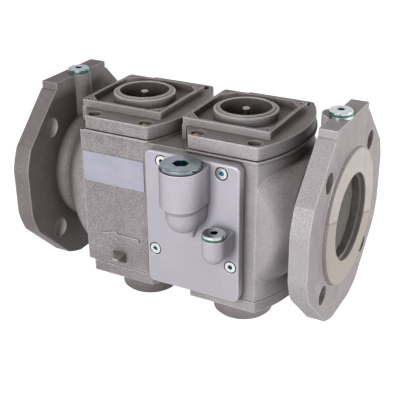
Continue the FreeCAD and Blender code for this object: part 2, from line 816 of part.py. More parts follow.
under_bonnet_head = deck_z + gasket_thickness + bonnet_thickness - screw_seat_depth
under_cover_head = base_z - cover_gasket - cover_thickness + screw_seat_depth
for number, offset in enumerate(cell_offsets, start=1):
    axis = mid_x + offset
    tag = "_%d" % number
    places = cover_screw_places(axis)
    save("bonnet" + tag, make_bonnet(axis))
    save("bonnet_gasket" + tag, make_gasket(axis, deck_z, deck_z + gasket_thickness,
                                            spigot_radius + spigot_clearance))
    save("bonnet_screws" + tag, group([socket_screw(x, y, under_bonnet_head, 1) for x, y in places]))
    save("bottom_cover" + tag, make_bottom_cover(axis))
    save("cover_gasket" + tag, make_gasket(axis, base_z - cover_gasket, base_z, service_radius))
    save("cover_screws" + tag, group([socket_screw(x, y, under_cover_head, -1) for x, y in places]))
    save("seat_ring" + tag, make_seat_ring(axis))
    save("stem_bush" + tag, make_bush(axis))
    save("stem_seal" + tag, make_stem_seal(axis))
    save("valve_stem" + tag, make_stem(axis))
    save("valve_disc" + tag, make_disc(axis))
    save("disc_seal" + tag, make_disc_seal(axis))
    save("clamp_plate" + tag, make_clamp_plate(axis))
    save("disc_nut" + tag, make_disc_nut(axis))
    save("closing_spring" + tag, make_spring(axis))

save("side_plate", make_side_plate())
save("plate_gasket", make_plate_gasket())
save("plate_screws", make_plate_screws())

large_axis = mid_x + plate_x + large_x
small_axis = mid_x + plate_x + small_x
large_under = large_top + large_seal_height
small_under = small_top + plug_seal_height
save("large_seal", ring(large_axis, large_y, large_top, large_under, large_seal_radius, large_bore))
save("large_plug", make_plug(large_axis, large_y, large_under, large_head_radius, large_head_height,
                             large_bore, large_thread_length, large_socket_flats, large_socket_depth))
save("small_seal", ring(small_axis, small_y, small_top, small_under, plug_seal_radius, small_bore))
save("small_plug", make_plug(small_axis, small_y, small_under, plug_head_radius, plug_head_height,
                             small_bore, plug_thread_length, plug_socket_flats, plug_socket_depth))

washer_x = mid_x + inlet_test_plug[0]
save("inlet_test_washer", ring(washer_x, inlet_test_plug[1], pad_top, pad_top + washer_height,
                               plug_seal_radius, small_bore))
for name, place, seat_z in (("inlet", inlet_test_plug, pad_top + washer_height),
                            ("outlet", outlet_test_plug, pad_top)):
    x = mid_x + place[0]
    under = seat_z + plug_seal_height
    save(name + "_test_seal", ring(x, place[1], seat_z, under, plug_seal_radius, small_bore))
    save(name + "_test_plug", make_plug(x, place[1], under, plug_head_radius, plug_head_height,
                                        small_bore, plug_thread_length, plug_socket_flats, plug_socket_depth))

strainer_outer = strainer_radius - ring_clearance
save("strainer_mesh", bar(-strainer_depth - strainer_thickness, -strainer_depth, strainer_outer))
save("strainer_ring", bar(-strainer_depth, -strainer_ring_front, strainer_outer).cut(
    bar(-strainer_depth - lap, 0, strainer_ring_inner)))
save("rating_label", make_label())
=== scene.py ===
import json
import math

import bmesh
import bpy
from mathutils import Matrix, Vector


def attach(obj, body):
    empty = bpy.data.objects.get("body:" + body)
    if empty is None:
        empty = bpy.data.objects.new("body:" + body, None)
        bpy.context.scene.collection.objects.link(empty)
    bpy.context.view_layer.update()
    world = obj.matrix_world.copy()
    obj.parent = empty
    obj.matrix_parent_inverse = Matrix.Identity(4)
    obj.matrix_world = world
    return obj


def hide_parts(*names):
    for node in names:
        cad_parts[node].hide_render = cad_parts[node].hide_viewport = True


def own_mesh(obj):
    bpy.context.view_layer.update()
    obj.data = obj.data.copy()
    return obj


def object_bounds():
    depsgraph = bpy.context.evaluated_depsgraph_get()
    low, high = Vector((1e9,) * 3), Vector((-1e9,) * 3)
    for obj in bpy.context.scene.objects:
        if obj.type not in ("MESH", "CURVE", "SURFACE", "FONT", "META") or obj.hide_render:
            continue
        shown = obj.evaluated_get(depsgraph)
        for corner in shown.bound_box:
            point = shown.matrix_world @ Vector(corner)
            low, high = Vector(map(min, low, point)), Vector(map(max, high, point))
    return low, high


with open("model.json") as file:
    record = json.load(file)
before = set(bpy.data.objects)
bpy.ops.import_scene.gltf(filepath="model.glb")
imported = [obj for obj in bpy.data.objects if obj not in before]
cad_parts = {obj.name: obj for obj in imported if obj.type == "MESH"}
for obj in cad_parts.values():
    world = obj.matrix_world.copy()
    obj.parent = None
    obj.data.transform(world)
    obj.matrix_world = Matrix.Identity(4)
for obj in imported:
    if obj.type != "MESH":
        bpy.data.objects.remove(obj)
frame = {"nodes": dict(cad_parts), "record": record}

# Double gas valve: dresses the CAD frame with finishes and adds the cast arrow, the strainer cloth,
# the coiled springs and the seal varnish.
# Metres; origin at the centre of the inlet sealing face, +X out of the inlet, +Z up.

nodes = frame["nodes"]
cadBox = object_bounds()

valve = {
    "length": 0.290,
    "raisedRadius": 0.0597,
    "raisedDepth": 0.0036,
    "inletCell": -0.0994,
    "outletCell": -0.2012,
    "cupRadius": 0.0231,
    "frontWall": -0.061,
    "screwTop": 0.0708,
    "screwFront": -0.0525,
}


class Value:
    # one output socket, so that shader maths can be written as expressions

    def __init__(self, paint, socket):
        self.paint = paint
        self.socket = socket

    def __add__(self, other):
        return self.paint.maths("ADD", self, other)

    def __sub__(self, other):
        return self.paint.maths("SUBTRACT", self, other)

    def __rsub__(self, other):
        return self.paint.maths("SUBTRACT", other, self)

    def __mul__(self, other):
        return self.paint.maths("MULTIPLY", self, other)

    def __truediv__(self, other):
        return self.paint.maths("DIVIDE", self, other)

    def __pow__(self, other):
        return self.paint.maths("POWER", self, other)

    def __lt__(self, other):
        return self.paint.maths("LESS_THAN", self, other)

    def __gt__(self, other):
        return self.paint.maths("GREATER_THAN", self, other)

    def __abs__(self):
        return self.paint.maths("ABSOLUTE", self)


shading = {
    "edgeSamples": 4,
    "cornerSamples": 6,
    "flankPower": 2.2,
    "coatRoughness": 0.2,
}


class Paint:
    # one material and the nodes it is built from

    def __init__(self, name):
        self.material = bpy.data.materials.new(name)
        self.material.use_nodes = True
        self.tree = self.material.node_tree
        self.tree.nodes.clear()
        self.place = Value(self, self.node("ShaderNodeTexCoord").outputs["Object"])
        axes = self.node("ShaderNodeSeparateXYZ", sockets={"Vector": self.place})
        self.x, self.y, self.z = [Value(self, axes.outputs[k]) for k in range(3)]

    def node(self, kind, settings=None, sockets=None):
        made = self.tree.nodes.new(kind)
        for key, setting in (settings or {}).items():
            setattr(made, key, setting)
        for key, given in (sockets or {}).items():
            socket = made.inputs[key]
            if isinstance(given, Value):
                self.tree.links.new(given.socket, socket)
            elif isinstance(given, tuple) and len(given) == 3 and socket.type == "RGBA":
                socket.default_value = (*given, 1.0)
            else:
                socket.default_value = given
        return made

    def maths(self, operation, first, second=None, clamp=False):
        sockets = {0: first}
        if second is not None:
            sockets[1] = second
        made = self.node("ShaderNodeMath", {"operation": operation, "use_clamp": clamp}, sockets)
        return Value(self, made.outputs[0])

    def clamped(self, value):
        return self.maths("ADD", value, 0.0, clamp=True)

    def mix(self, factor, first, second):
        made = self.node("ShaderNodeMix", {"data_type": "RGBA"}, {0: factor, 6: first, 7: second})
        return Value(self, made.outputs[2])

    def noise(self, size, detail=3.0, roughness=0.55, stretch=None):
        # size is the width of one patch in metres
        vector = self.place
        if stretch:
            vector = self.stretched(stretch)
        made = self.node("ShaderNodeTexNoise", {"noise_dimensions": "3D"},
                         {"Vector": vector, "Scale": 1.0 / size, "Detail": detail,
                          "Roughness": roughness})
        return Value(self, made.outputs[0])

    def stretched(self, scale):
        made = self.node("ShaderNodeMapping", {"vector_type": "POINT"},
                         {"Vector": self.place, "Scale": scale})
        return Value(self, made.outputs[0])

    def pits(self, size):
        made = self.node("ShaderNodeTexVoronoi", {"feature": "F1"},
                         {"Vector": self.place, "Scale": 1.0 / size})
        return Value(self, made.outputs["Distance"])

    def radius(self, first, second):
        return (first * first + second * second) ** 0.5

    def softEdges(self, width):
        made = self.node("ShaderNodeBevel", {"samples": shading["edgeSamples"]}, {"Radius": width})
        return Value(self, made.outputs[0])

    def edgeWearAndHighlight(self, width, strength):
        # 1 along sharp edges, 0 on flat skin
        flat = self.node("ShaderNodeNewGeometry").outputs["True Normal"]
        made = self.node("ShaderNodeVectorMath", {"operation": "DOT_PRODUCT"},
                         {0: self.softEdges(width), 1: Value(self, flat)})
        return self.clamped((1.0 - Value(self, made.outputs["Value"])) * strength)

    def uprightness(self):
        # 1 on walls, 0 on level faces
        surface = Value(self, self.node("ShaderNodeNewGeometry").outputs["Normal"])
        split = self.node("ShaderNodeSeparateXYZ", sockets={"Vector": surface})
        return 1.0 - abs(Value(self, split.outputs[2]))

    def flank(self):
        # 0 facing the view, 1 where a surface turns away
        made = self.node("ShaderNodeLayerWeight", {}, {"Blend": 0.5})
        return Value(self, made.outputs["Facing"]) ** shading["flankPower"]

    def openness(self, reach):
        # 1 where nothing stands close, less inside corners and hollows
        made = self.node("ShaderNodeAmbientOcclusion", {"samples": shading["cornerSamples"]},
                         {"Distance": reach})
        return Value(self, made.outputs["AO"])

    def bump(self, height, depth, strength, normal):
        made = self.node("ShaderNodeBump", {}, {"Height": height, "Distance": depth,
                                                "Strength": strength, "Normal": normal})
        return Value(self, made.outputs[0])

    def finish(self, colour, roughness, normal, metallic=0.0, specular=0.5, coat=0.0):
        sockets = {"Base Color": colour, "Roughness": roughness, "Metallic": metallic, "Normal": normal,
                   "Specular IOR Level": specular, "Coat Weight": coat,
                   "Coat Roughness": shading["coatRoughness"]}
        shader = self.node("ShaderNodeBsdfPrincipled", {}, sockets)
        output = self.node("ShaderNodeOutputMaterial")
        self.tree.links.new(shader.outputs[0], output.inputs[0])
        return self.material


castLook = {
    "light": (0.49, 0.455, 0.475),
    "dark": (0.225, 0.199, 0.202),
    # painted shade for surfaces turning from the view and for corners
    "paintedShadeAndStain": (0.090, 0.064, 0.050),
    "grain": 0.0011,
    "speck": 0.0004,
    "patch": 0.018,
    "depth": 0.00035,
    "edge": 0.0015,
    "roughness": 0.44,
    "metallic": 0.02,
    "specular": 0.12,
    "wearAndHighlightGain": 14.0,
    # edge colour: real wear plus a painted highlight
    "bareAndHighlight": (0.86, 0.83, 0.84),
    "grainContrast": 2.6,
    "speckContrast": 2.2,
    "patchContrast": 0.8,
    "cornerReach": 0.012,
    "cornerDark": 0.8,
    "cavityReach": 0.045,
    "cavityStart": 0.60,
    "cavityDark": 2.1,
    # painted shade down in hollows
    "hollowShade": (0.052, 0.038, 0.031),
    "edgeMetal": 0.3,
    "flankShadeShare": 0.34,
    # painted sheen on walls towards the inlet end
    "sheenStart": -0.130,
    "sheenFade": 0.030,
    "sheenEnd": -0.0210,
    "sheenShare": 0.40,
    "paintedSheen": (0.62, 0.605, 0.64),
}


castSkin = {
    "pitSize": 2.2,
    "pitGain": 2.4,
    "wornGain": 2.0,
    "wornLoss": 0.9,
    "grainHeight": 0.6,
    "speckHeight": 0.25,
    "pitHeight": 0.35,
    "bumpStrength": 0.55,
    "roughnessSpread": 0.3,
}


def castSurface(paint, look):
    # cast skin: fine grain, small pits, soft patches, edges lightened by real wear plus a painted highlight,
    # a painted sheen on walls towards the inlet, and painted shade on flanks turning from the view, in
    # corners and in hollows
    grain = paint.noise(look["grain"], detail=4.0, roughness=0.65)
    speck = paint.noise(look["speck"], detail=2.0, roughness=0.6)
    patch = paint.noise(look["patch"], detail=3.0, roughness=0.6)
    pit = paint.clamped(1.0 - paint.pits(look["grain"] * castSkin["pitSize"]) * castSkin["pitGain"])
    tone = paint.clamped((grain - 0.5) * look["grainContrast"] + (speck - 0.5) * look["speckContrast"] +
                         (patch - 0.5) * look["patchContrast"] + 0.5)
    colour = paint.mix(tone, look["dark"], look["light"])
    # painted sheen: walls lighter towards the inlet end, level faces unchanged
    paintedSheen = paint.clamped((paint.x - look["sheenStart"]) / look["sheenFade"])
    paintedSheen = paintedSheen * (paint.x < look["sheenEnd"])
    colour = paint.mix(paintedSheen * paint.uprightness() * look["sheenShare"], colour, look["paintedSheen"])
    # painted shade where surfaces turn away from the view
    colour = paint.mix(paint.flank() * look["flankShadeShare"], colour, look["paintedShadeAndStain"])
    corner = paint.openness(look["cornerReach"])
    outer = paint.clamped(corner * castSkin["wornGain"] - castSkin["wornLoss"])
    # edges lightened by real wear plus a painted highlight
    wearAndHighlight = paint.edgeWearAndHighlight(look["edge"], look["wearAndHighlightGain"]) * outer
    colour = paint.mix(wearAndHighlight, colour, look["bareAndHighlight"])
    # painted shade in corners
    colour = paint.mix(paint.clamped((1.0 - corner) * look["cornerDark"]), colour, look["paintedShadeAndStain"])
    # painted shade in hollows
    hollow = look["cavityStart"] - paint.openness(look["cavityReach"])
    hollowShade = paint.clamped(hollow * look["cavityDark"])
    colour = paint.mix(hollowShade, colour, look["hollowShade"])
    height = grain * castSkin["grainHeight"] + speck * castSkin["speckHeight"] - pit * castSkin["pitHeight"]
    normal = paint.bump(height, look["depth"], castSkin["bumpStrength"], paint.softEdges(look["edge"]))
    roughness = paint.clamped((grain - 0.5) * castSkin["roughnessSpread"] + look["roughness"])
    metallic = paint.clamped(wearAndHighlight * look["edgeMetal"] + look["metallic"])
    return colour, roughness, normal, metallic


turnedLook = {
    "light": (0.53, 0.485, 0.46),
    "dark": (0.39, 0.35, 0.325),
    "tide": (0.27, 0.19, 0.11),
    "below": (0.36, 0.315, 0.27),
    "groove": 0.00045,
    "depth": 0.00005,
    "tideHeight": 0.0006,
    "tideSlope": -0.332,
    "tideWidth": 0.0016,
    # the inlet rim gets a grainy painted highlight
    "rimEnd": -0.0200,
    "rimStart": -0.0037,
    "rimHighlight": (0.86, 0.84, 0.86),
    "rimDark": (0.36, 0.345, 0.36),
    "rimGrain": 0.0009,
    "rimContrast": 3.4,
    "rimShare": 0.55,
    "outletEnd": -0.2380,
    "outletFade": 0.012,
    "outletShare": 0.52,
    "outletShade": (0.13, 0.108, 0.104),
    "boltAxis": 0.05127,
    "boltHole": 0.00915,
    "flangeBack": 0.0205,
    # painted light on the bolt hole walls
    "paintedHoleLight": (0.74, 0.71, 0.70),
    "holeDark": (0.34, 0.31, 0.30),
    "holeShare": 0.85,
    "faceShare": 0.2,
    "cloud": 0.012,
    "cloudGain": 1.4,
    "cloudLoss": 0.2,
    "wave": 0.02,
    "waveHeight": 0.004,
    "lineDrop": 0.0012,
    "belowShare": 0.8,
    "lineShare": 0.75,
    "roughness": 0.36,
    "bumpStrength": 0.35,
}


def housingFinish():
    # cast body with a painted highlight on the inlet rim, painted light on the drilled hole walls, painted
    # shade towards the outlet end, turned sealing faces and a dried tide line
    paint = Paint("castBody")
    look = turnedLook
    colour, roughness, normal, metallic = castSurface(paint, castLook)
    # painted highlight on the inlet rim, with grain
    rim = (paint.x > look["rimEnd"]) * (paint.x < look["rimStart"])
    rimGrain = paint.noise(look["rimGrain"], detail=3.0, roughness=0.7)
    sparkle = paint.clamped((rimGrain - 0.5) * look["rimContrast"] + 0.5)
    colour = paint.mix(rim * look["rimShare"], colour, paint.mix(sparkle, look["rimDark"], look["rimHighlight"]))
    # painted shade towards the outlet end
    farEnd = paint.clamped((look["outletEnd"] - paint.x) / look["outletFade"])
    colour = paint.mix(farEnd * look["outletShare"], colour, look["outletShade"])
    halfLength = valve["length"] / 2
    fromMiddle = abs(paint.x + halfLength)
    inFlange = fromMiddle > halfLength - look["flangeBack"]
    fromBolt = paint.radius(abs(paint.y) - look["boltAxis"], abs(paint.z) - look["boltAxis"])
    # painted light on the bolt hole walls, with grain
    litHoleWalls = (fromBolt < look["boltHole"]) * inFlange * look["holeShare"]
    colour = paint.mix(litHoleWalls, colour, paint.mix(sparkle, look["holeDark"], look["paintedHoleLight"]))
    fromAxis = paint.radius(paint.y, paint.z)
    endFace = fromMiddle > halfLength - valve["raisedDepth"] * look["faceShare"]
    turned = endFace * (fromAxis < valve["raisedRadius"])
    rings = paint.maths("SINE", fromAxis * (2 * math.pi / look["groove"]))
    cloud = paint.noise(look["cloud"], detail=4.0, roughness=0.6)
    tone = paint.clamped(cloud * look["cloudGain"] - look["cloudLoss"])
    turnedColour = paint.mix(tone, look["dark"], look["light"])
    wave = paint.noise(look["wave"], detail=2.0) * look["waveHeight"] - look["waveHeight"] / 2
    level = paint.z - (paint.y * look["tideSlope"] + look["tideHeight"]) + wave
    below = paint.clamped(0.5 - level / look["tideWidth"])
    line = paint.clamped(1.0 - abs(level + look["lineDrop"]) / look["tideWidth"])
    inletSide = paint.x > -halfLength
    turnedColour = paint.mix(below * inletSide * look["belowShare"], turnedColour, look["below"])
    turnedColour = paint.mix(line * inletSide * look["lineShare"], turnedColour, look["tide"])
    colour = paint.mix(turned, colour, turnedColour)
    roughness = roughness * (1.0 - turned) + turned * look["roughness"]
    normal = paint.bump(rings * turned, look["depth"], look["bumpStrength"], normal)
    return paint.finish(colour, roughness, normal, metallic=metallic, specular=castLook["specular"])


cup = {"shade": (0.040, 0.030, 0.025), "share": 0.72, "rim": 0.0826}


def castFinish():
    # covers, with painted shade down inside the two collars
    paint = Paint("castCover")
    colour, roughness, normal, metallic = castSurface(paint, castLook)
    # painted shade down inside the two collars
    inside = 0.0
    for cell in (valve["inletCell"], valve["outletCell"]):
        inside = (paint.radius(paint.x - cell, paint.y) < valve["cupRadius"]) + inside
    within = inside * (paint.z < cup["rim"]) * (paint.z > 0.0)
    colour = paint.mix(within * cup["share"], colour, cup["shade"])
    return paint.finish(colour, roughness, normal, metallic=metallic, specular=castLook["specular"])


dieLook = {
    "light": (0.60, 0.585, 0.66),
    "dark": (0.44, 0.43, 0.49),
    # painted shade for surfaces turning from the view and for corners
    "paintedShadeAndStain": (0.19, 0.185, 0.21),
    "grain": 0.0016,
    "speck": 0.0005,
    "patch": 0.03,
    "depth": 0.00014,
    "edge": 0.0012,
    "roughness": 0.38,
    "metallic": 0.06,
    "specular": 0.2,
    "wearAndHighlightGain": 9.0,
    # edge colour: real wear plus a painted highlight
    "bareAndHighlight": (0.86, 0.85, 0.90),
    "grainContrast": 1.2,
    "speckContrast": 0.8,
    "patchContrast": 0.6,
    "cornerReach": 0.008,
    "cornerDark": 0.8,
    "cavityReach": 0.02,
    "cavityStart": 0.45,
    "cavityDark": 1.5,
    # painted shade down in hollows
    "hollowShade": (0.08, 0.078, 0.09),
    "edgeMetal": 0.4,
    "flankShadeShare": 0.75,
    # painted sheen on walls towards the inlet end
    "sheenStart": -0.090,
    "sheenFade": 0.030,
    "sheenEnd": -0.0210,
    "sheenShare": 0.2,
    "paintedSheen": (0.68, 0.67, 0.73),
}


def dieCastFinish():
    paint = Paint("dieCastPlate")
    colour, roughness, normal, metallic = castSurface(paint, dieLook)
    return paint.finish(colour, roughness, normal, metallic=metallic, specular=dieLook["specular"])


hexSockets = {
    "large": {"centres": [(-0.1149, -0.0886)], "radius": 0.0070, "level": 0.0606,
              "colour": (0.015, 0.19, 0.26)},
    # the small socket is painted near black as painted shade
    "small": {"centres": [(-0.0846, -0.0899)], "radius": 0.0036, "level": 0.0063,
              "colour": (0.014, 0.016, 0.018)},
    "plate": {"centres": [(-0.1429, 0.0507), (-0.0871, 0.0507), (-0.1513, -0.0334), (-0.0787, -0.0334)],
              "radius": 0.0025, "level": -0.0716, "colour": (0.02, 0.15, 0.24)},
}


def inSocket(paint, socket, upright):
    # 1 on the walls and floor of the hexagon sockets
    across, depth = (paint.y, paint.z < socket["level"]) if upright else (paint.z, paint.y > socket["level"])
    inside = 0.0
    for first, second in socket["centres"]:
        inside = (paint.radius(paint.x - first, across - second) < socket["radius"]) + inside
    return inside * depth


metalSkin = {
    "brush": 0.0009,
    "brushStretch": (1.0, 1.0, 7.0),
    "cloud": 0.006,
    "cloudGain": 1.5,
    "cloudLoss": 0.25,
    "fleck": 0.0005,
    "tintSize": 0.004,
    "tintGain": 2.2,
    "tintLoss": 0.85,
    "tintShare": 0.5,
    "brushHeight": 0.7,
    "fleckHeight": 0.3,
    "depth": 0.00004,
    "bumpStrength": 0.4,
    "edge": 0.0004,
    "roughnessSpread": 0.25,
    "metallic": 0.95,
}


def brightMetal(name, light, dark, roughness, tint=None, socket=None, upright=True):
    # plated or turned metal: fine brushing, faint clouds, small scratches
    paint = Paint(name)
    skin = metalSkin
    brush = paint.noise(skin["brush"], detail=3.0, roughness=0.6, stretch=skin["brushStretch"])
    cloud = paint.noise(skin["cloud"], detail=3.0, roughness=0.55)
    fleck = paint.noise(skin["fleck"], detail=2.0, roughness=0.5)
    colour = paint.mix(paint.clamped(cloud * skin["cloudGain"] - skin["cloudLoss"]), dark, light)
    if tint:
        paintedShadeAndStain = paint.noise(skin["tintSize"], detail=2.0) * skin["tintGain"] - skin["tintLoss"]
        colour = paint.mix(paint.clamped(paintedShadeAndStain) * skin["tintShare"], colour, tint)
    if socket:
        colour = paint.mix(inSocket(paint, socket, upright), colour, socket["colour"])
    height = brush * skin["brushHeight"] + fleck * skin["fleckHeight"]
    normal = paint.bump(height, skin["depth"], skin["bumpStrength"], paint.softEdges(skin["edge"]))
    roughness = paint.clamped((cloud - 0.5) * skin["roughnessSpread"] + roughness)
    return paint.finish(colour, roughness, normal, metallic=skin["metallic"])


rubberSkin = {
    "grain": 0.0006,
    "cloud": 0.005,
    "cloudGain": 1.3,
    "grainGain": 0.5,
    "loss": 0.4,
    "depth": 0.00006,
    "bumpStrength": 0.4,
    "edge": 0.0003,
    "roughnessSpread": 0.3,
}


def rubberFinish(name, light, dark, roughness):
    paint = Paint(name)
    skin = rubberSkin
    grain = paint.noise(skin["grain"], detail=3.0, roughness=0.6)
    cloud = paint.noise(skin["cloud"], detail=3.0, roughness=0.6)
    tone = paint.clamped(cloud * skin["cloudGain"] + grain * skin["grainGain"] - skin["loss"])
    normal = paint.bump(grain, skin["depth"], skin["bumpStrength"], paint.softEdges(skin["edge"]))
    roughness = paint.clamped((grain - 0.5) * skin["roughnessSpread"] + roughness)
    return paint.finish(paint.mix(tone, dark, light), roughness, normal)


labelLook = {
    "light": (0.52, 0.52, 0.62),
    "dark": (0.34, 0.34, 0.42),
    "cloud": 0.02,
    "streak": 0.004,
    "streakStretch": (0.25, 1.0, 1.6),
    "cloudGain": 0.8,
    "streakGain": 0.6,
    "loss": 0.2,
    "depth": 0.00003,
    "bumpStrength": 0.25,
    "edge": 0.0003,
    "roughness": 0.34,
    "roughnessSpread": 0.25,
    "metallic": 0.15,
    "coat": 0.2,
}


def labelFinish():
    # blank film with faint streaks and a soft sheen
    paint = Paint("blankLabel")
    look = labelLook
    cloud = paint.noise(look["cloud"], detail=3.0, roughness=0.5)
    streak = paint.noise(look["streak"], detail=3.0, roughness=0.6, stretch=look["streakStretch"])
    tone = paint.clamped(cloud * look["cloudGain"] + streak * look["streakGain"] - look["loss"])
    normal = paint.bump(streak, look["depth"], look["bumpStrength"], paint.softEdges(look["edge"]))
    roughness = paint.clamped((streak - 0.5) * look["roughnessSpread"] + look["roughness"])
    return paint.finish(paint.mix(tone, look["dark"], look["light"]), roughness, normal,
                        metallic=look["metallic"], coat=look["coat"])


varnishLook = {
    "light": (0.80, 0.50, 0.08),
    "dark": (0.62, 0.30, 0.04),
    "cloud": 0.0015,
    "depth": 0.0002,
    "bumpStrength": 0.5,
    "edge": 0.0003,
    "roughness": 0.25,
    "roughnessSpread": 0.2,
    "coat": 0.5,
}


def varnishFinish():
    paint = Paint("sealVarnish")
    look = varnishLook
    cloud = paint.noise(look["cloud"], detail=3.0, roughness=0.6)
    normal = paint.bump(cloud, look["depth"], look["bumpStrength"], paint.softEdges(look["edge"]))
    roughness = paint.clamped((cloud - 0.5) * look["roughnessSpread"] + look["roughness"])
    return paint.finish(paint.mix(cloud, look["dark"], look["light"]), roughness, normal, coat=look["coat"])


finishes = {
    "cast_body": housingFinish(),
    "cast_aluminium": castFinish(),
    "die_cast_aluminium": dieCastFinish(),
    "machined_aluminium": brightMetal("turnedAluminium", (0.70, 0.69, 0.67), (0.55, 0.54, 0.52), 0.34),
    "zinc_steel": brightMetal("zincPlate", (0.44, 0.48, 0.50), (0.20, 0.225, 0.235), 0.2,
                              tint=(0.16, 0.24, 0.36)),
    "stainless": brightMetal("groundSteel", (0.34, 0.30, 0.275), (0.20, 0.17, 0.155), 0.3),
    "spring_steel": brightMetal("springWire", (0.46, 0.46, 0.47), (0.30, 0.30, 0.31), 0.34),
    "dark_steel": brightMetal("darkSteel", (0.30, 0.285, 0.275), (0.16, 0.15, 0.145), 0.42),
    "strainer_wire": brightMetal("strainerWire", (0.34, 0.325, 0.30), (0.13, 0.12, 0.11), 0.45),
    "bronze": brightMetal("sinteredBronze", (0.66, 0.48, 0.27), (0.46, 0.32, 0.17), 0.40),
    "black_rubber": rubberFinish("blackSeal", (0.035, 0.035, 0.035), (0.012, 0.012, 0.012), 0.62),
    "green_seal": rubberFinish("greenSeal", (0.045, 0.20, 0.145), (0.015, 0.085, 0.06), 0.36),
    "label_film": labelFinish(),
}
print("finishes ready:", len(finishes))


def dress(piece, material):
    piece.data.materials.clear()
    piece.data.materials.append(material)


zincHead = brightMetal("brightZinc", (0.78, 0.79, 0.79), (0.42, 0.44, 0.45), 0.17, tint=(0.20, 0.27, 0.34))
screwHead = brightMetal("screwZinc", (0.80, 0.80, 0.77), (0.46, 0.47, 0.45), 0.2,
                        socket=hexSockets["plate"], upright=False)
largeHead = brightMetal("largePlugZinc", (0.33, 0.365, 0.385), (0.14, 0.16, 0.175), 0.2,
                        tint=(0.10, 0.17, 0.27), socket=hexSockets["large"])
smallHead = brightMetal("smallPlugZinc", (0.78, 0.79, 0.79), (0.42, 0.44, 0.45), 0.17,
                        tint=(0.20, 0.27, 0.34), socket=hexSockets["small"])
special = {
    "valve_housing": finishes["cast_body"],
    "large_plug": largeHead,
    "small_plug": smallHead,
    "inlet_test_plug": zincHead,
    "inlet_test_washer": zincHead,
    "plate_screws": screwHead,
}
slots = {part["node"]: part["material_slot"] for part in frame["record"]["subparts"]}
for nodeName, piece in nodes.items():
    dress(piece, special.get(nodeName, finishes[slots[nodeName]]))
print("CAD nodes dressed:", len(nodes))


def newPiece(name, mesh, material):
    built = bpy.data.meshes.new(name)
    bmesh.ops.recalc_face_normals(mesh, faces=mesh.faces)
    mesh.to_mesh(built)
    mesh.free()
    piece = bpy.data.objects.new(name, built)
    bpy.context.scene.collection.objects.link(piece)
    piece.data.materials.append(material)
    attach(piece, "housing")
    return piece


arrow = {
    "tip": -0.2154,
    "head": -0.1992,
    "notch": -0.1972,
    "end": -0.1752,
    "level": -0.0378,
    "headHalf": 0.0046,
    "shaftHalf": 0.0018,
    "height": 0.0010,
    "edge": 0.0003,
    "sunk": 0.3,
}


def makeFlowArrow():
    mesh = bmesh.new()
    top = [(arrow["tip"], 0.0), (arrow["head"], arrow["headHalf"]), (arrow["notch"], arrow["shaftHalf"]),
           (arrow["end"], arrow["shaftHalf"])]
    outline = top + [(x, -rise) for x, rise in reversed(top[1:])]
    back = valve["frontWall"] + arrow["height"] * arrow["sunk"]
    corners = [mesh.verts.new((x, back, arrow["level"] + rise)) for x, rise in outline]
    face = mesh.faces.new(corners)
    raised = bmesh.ops.extrude_face_region(mesh, geom=[face])["geom"]
    front = [item for item in raised if isinstance(item, bmesh.types.BMVert)]
    bmesh.ops.translate(mesh, verts=front, vec=(0.0, -arrow["height"] * (1 + arrow["sunk"]), 0.0))
    edges = [edge for edge in mesh.edges if all(vert in front for vert in edge.verts)]
    bmesh.ops.bevel(mesh, geom=edges, offset=arrow["edge"], segments=3, profile=0.5, affect="EDGES",
                    material=-1)
    newPiece("flow_arrow", mesh, finishes["cast_aluminium"])


strainer = {
    "radius": 0.0376,
    "place": -0.0114,
    "pitch": 0.00170,
    "wire": 0.00058,
    "bend": 0.00022,
    "rimWidth": 0.0008,
    "rimSides": 10,
    "rimSteps": 96,
    "weaveAngle": 30,
}


def makeStrainer():
    # square wire cloth cut round, each crossing lifted in turn, held in a thin rolled rim
    mesh = bmesh.new()
    half = strainer["radius"]
    steps = int(2 * half / strainer["pitch"])
    bmesh.ops.create_grid(mesh, x_segments=steps, y_segments=steps, size=half)
    outside = [face for face in mesh.faces
               if max(vert.co.length for vert in face.verts) > half - strainer["rimWidth"] * 0.5]
    bmesh.ops.delete(mesh, geom=outside, context="FACES")
    for vert in mesh.verts:
        column = round((vert.co.x + half) / (2 * half) * steps)
        row = round((vert.co.y + half) / (2 * half) * steps)
        vert.co.z = strainer["bend"] * (1 if (column + row) % 2 else -1)
    bmesh.ops.wireframe(mesh, faces=mesh.faces, thickness=strainer["wire"] / 2, offset=0.0,
                        use_replace=True, use_boundary=True, use_even_offset=True)
    turn = Matrix.Rotation(math.radians(90), 4, "Y")
    turn = turn @ Matrix.Rotation(math.radians(strainer["weaveAngle"]), 4, "Z")
    seat = Matrix.Translation((strainer["place"], 0, 0))
    bmesh.ops.transform(mesh, matrix=seat @ turn, verts=mesh.verts)
    cloth = newPiece("strainer_cloth", mesh, finishes["strainer_wire"])
    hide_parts("strainer_mesh")
    ring = bmesh.new()
    bmesh.ops.create_circle(ring, cap_ends=False, radius=strainer["rimWidth"] / 2,
                            segments=strainer["rimSides"])
    around = Matrix.Translation((strainer["place"], 0, strainer["radius"] - strainer["rimWidth"] / 2))
    bmesh.ops.transform(ring, matrix=around @ Matrix.Rotation(math.radians(90), 4, "X"), verts=ring.verts)
    bmesh.ops.spin(ring, geom=ring.verts[:] + ring.edges[:], cent=(strainer["place"], 0, 0), axis=(1, 0, 0),
                   angle=math.radians(360), steps=strainer["rimSteps"], use_merge=True)
    newPiece("strainer_rim", ring, finishes["stainless"])


spring = {
    "radius": 0.0130,
    "wire": 0.0013,
    "low": -0.1122,
    "high": -0.01835,
    "turns": 6,
    "steps": 32,
    "sides": 12,
    "seat": -0.1135,
    "closedLength": 0.09645,
    "lift": 0.0180,
    "clearance": 0.0002,
}


